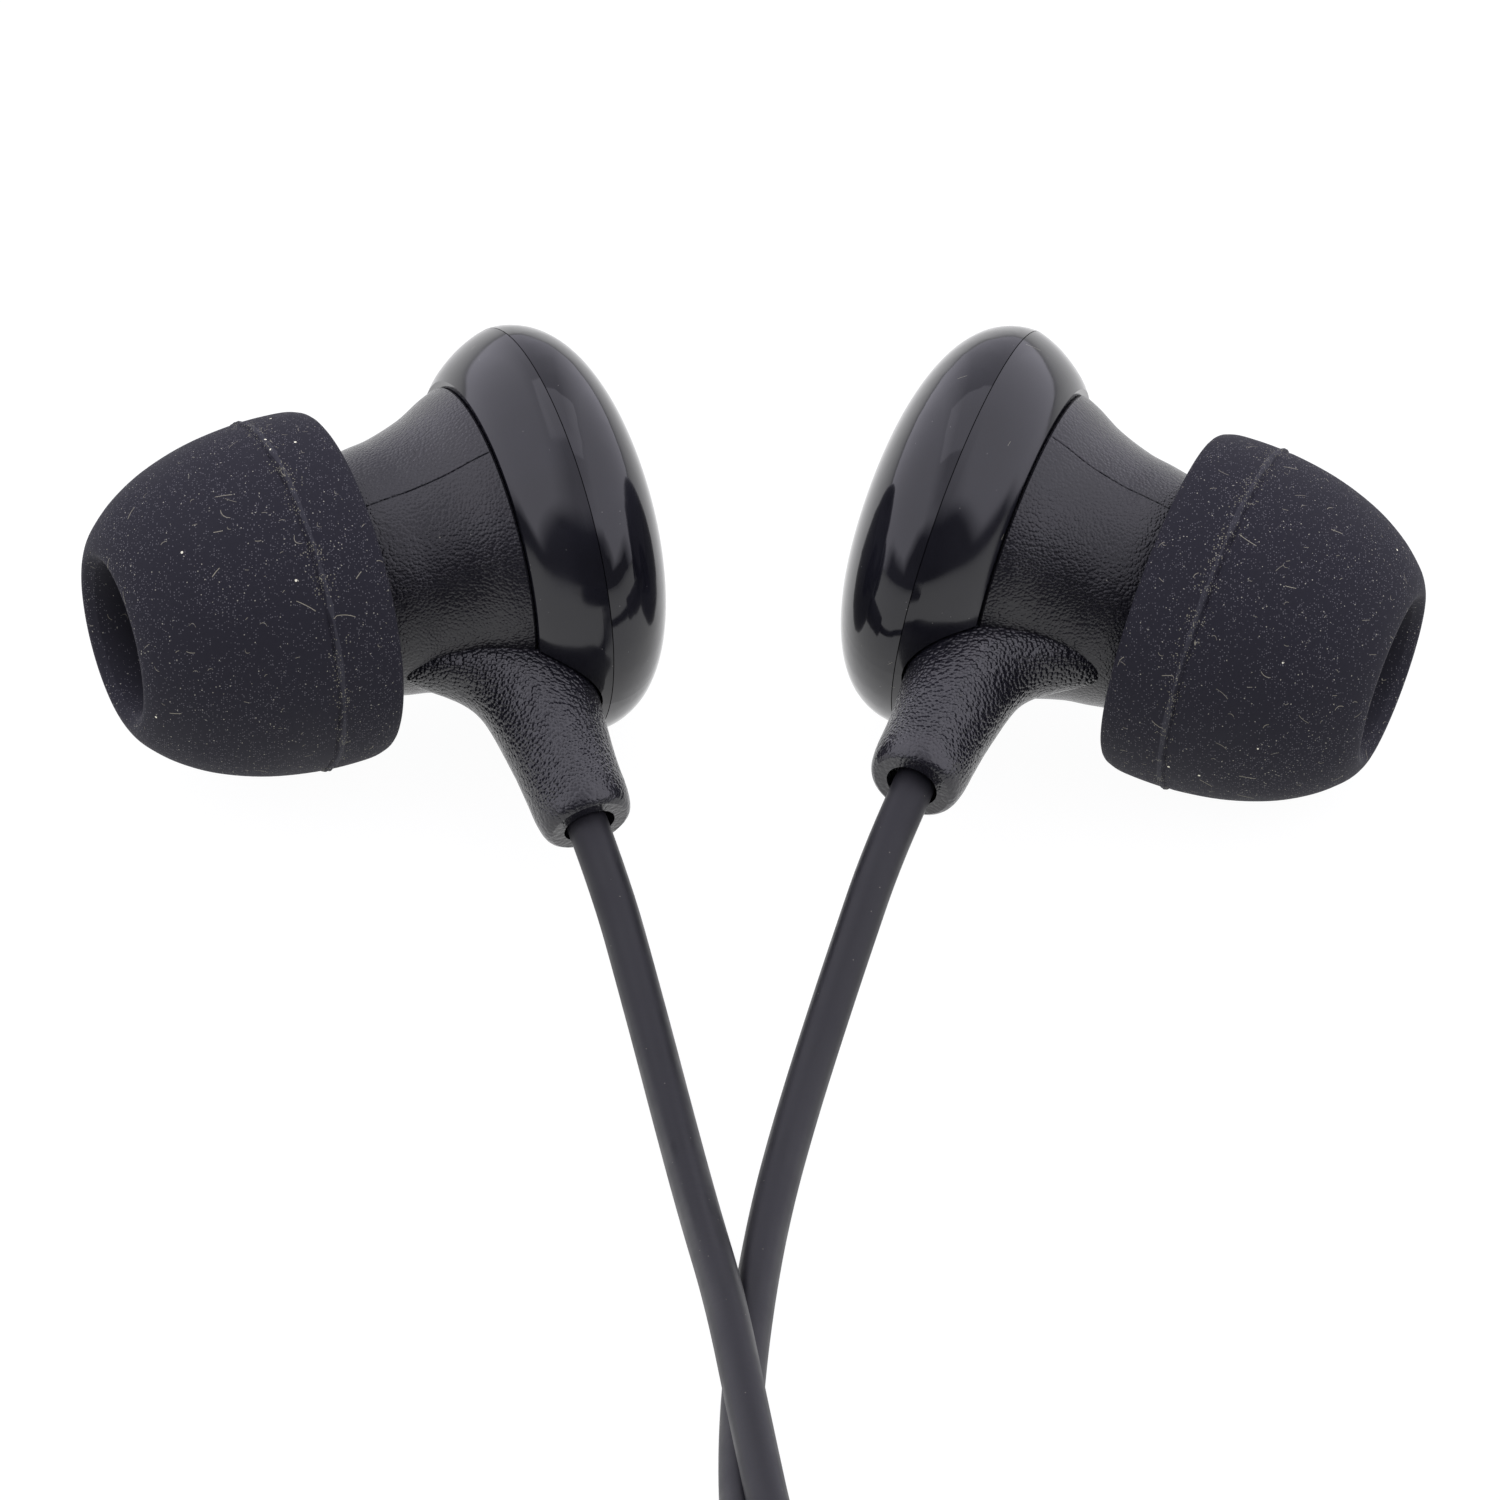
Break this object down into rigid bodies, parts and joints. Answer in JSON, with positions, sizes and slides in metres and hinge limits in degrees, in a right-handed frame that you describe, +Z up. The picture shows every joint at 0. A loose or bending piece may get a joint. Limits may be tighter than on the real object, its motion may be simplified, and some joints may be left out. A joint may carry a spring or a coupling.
{
  "type": "wired earphones",
  "caption": "In-ear wired earphones with silicone tips, round housings with a side stem, thin round cords, a Y split and a 3.5 mm plug.",
  "frame": {"origin": "on the surface that the earphones lie on, under the middle of the two earphones", "axes": "+Z up, +X to the right from the left earphone to the right one, -Y towards the user, where the cords run"},
  "size_m": [0.0595, 0.098, 0.0144],
  "materials": {
    "tip_silicone": "matte silicone with dust on it",
    "housing_matte": "fine spark texture",
    "stem_matte": "coarse spark texture",
    "shell_gloss": "polished",
    "cord_jacket": "satin",
    "screen_steel": "perforated sheet",
    "foam": "foam",
    "driver_plastic": "moulded",
    "film": "thin film",
    "copper": "enamelled wire",
    "steel": "plated",
    "magnet_nickel": "nickel plated",
    "paper": "acoustic paper",
    "board": "circuit board",
    "tie_rubber": "matte band",
    "boot_rubber": "satin overmould",
    "plug_grip": "satin",
    "contact_plated": "plated contacts",
    "insulator": "moulded"
  },
  "bodies": {
    "root": {"left_front_housing": "housing_matte", "left_bezel_ring": "shell_gloss", "left_back_cover": "shell_gloss", "left_cord_stem": "stem_matte", "left_nozzle_screen": "screen_steel", "left_driver_gasket": "foam", "left_driver_grille": "screen_steel", "left_driver_frame": "driver_plastic", "left_top_plate": "steel", "left_magnet": "magnet_nickel", "left_yoke": "steel", "left_damping_ring": "paper", "left_terminal_board": "board", "left_lead_wires": "copper", "left_cord_anchor": "copper", "left_cord": "cord_jacket", "right_front_housing": "housing_matte", "right_bezel_ring": "shell_gloss", "right_back_cover": "shell_gloss", "right_cord_stem": "stem_matte", "right_nozzle_screen": "screen_steel", "right_driver_gasket": "foam", "right_driver_grille": "screen_steel", "right_driver_frame": "driver_plastic", "right_top_plate": "steel", "right_magnet": "magnet_nickel", "right_yoke": "steel", "right_damping_ring": "paper", "right_terminal_board": "board", "right_lead_wires": "copper", "right_cord_anchor": "copper", "right_cord": "cord_jacket", "main_cord": "cord_jacket", "cord_coil": "cord_jacket", "cord_tie": "tie_rubber", "y_split": "boot_rubber", "plug_boot": "boot_rubber", "plug_shell": "plug_grip", "plug_sleeve": "contact_plated", "plug_ring": "contact_plated", "plug_tip": "contact_plated", "plug_insulators": "insulator"},
    "left_tip_body": {"left_ear_tip": "tip_silicone"},
    "right_tip_body": {"right_ear_tip": "tip_silicone"},
    "left_cone_body": {"left_diaphragm": "film", "left_voice_coil": "copper"},
    "right_cone_body": {"right_diaphragm": "film", "right_voice_coil": "copper"}
  },
  "joints": [
    {"name": "left_tip_pull", "type": "slide", "parent": "root", "child": "left_tip_body", "axis": [-0.9334, -0.3583, -0.0175], "range_m": [0, 0.006]},
    {"name": "left_cone_travel", "type": "slide", "parent": "root", "child": "left_cone_body", "axis": [-0.9334, -0.3583, -0.0175], "range_m": [-0.00025, 0.00025], "stiffness_N_per_m": 20},
    {"name": "right_tip_pull", "type": "slide", "parent": "root", "child": "right_tip_body", "axis": [0.9282, -0.3415, -0.1478], "range_m": [0, 0.006]},
    {"name": "right_cone_travel", "type": "slide", "parent": "root", "child": "right_cone_body", "axis": [0.9282, -0.3415, -0.1478], "range_m": [-0.00025, 0.00025], "stiffness_N_per_m": 20}
  ]
}
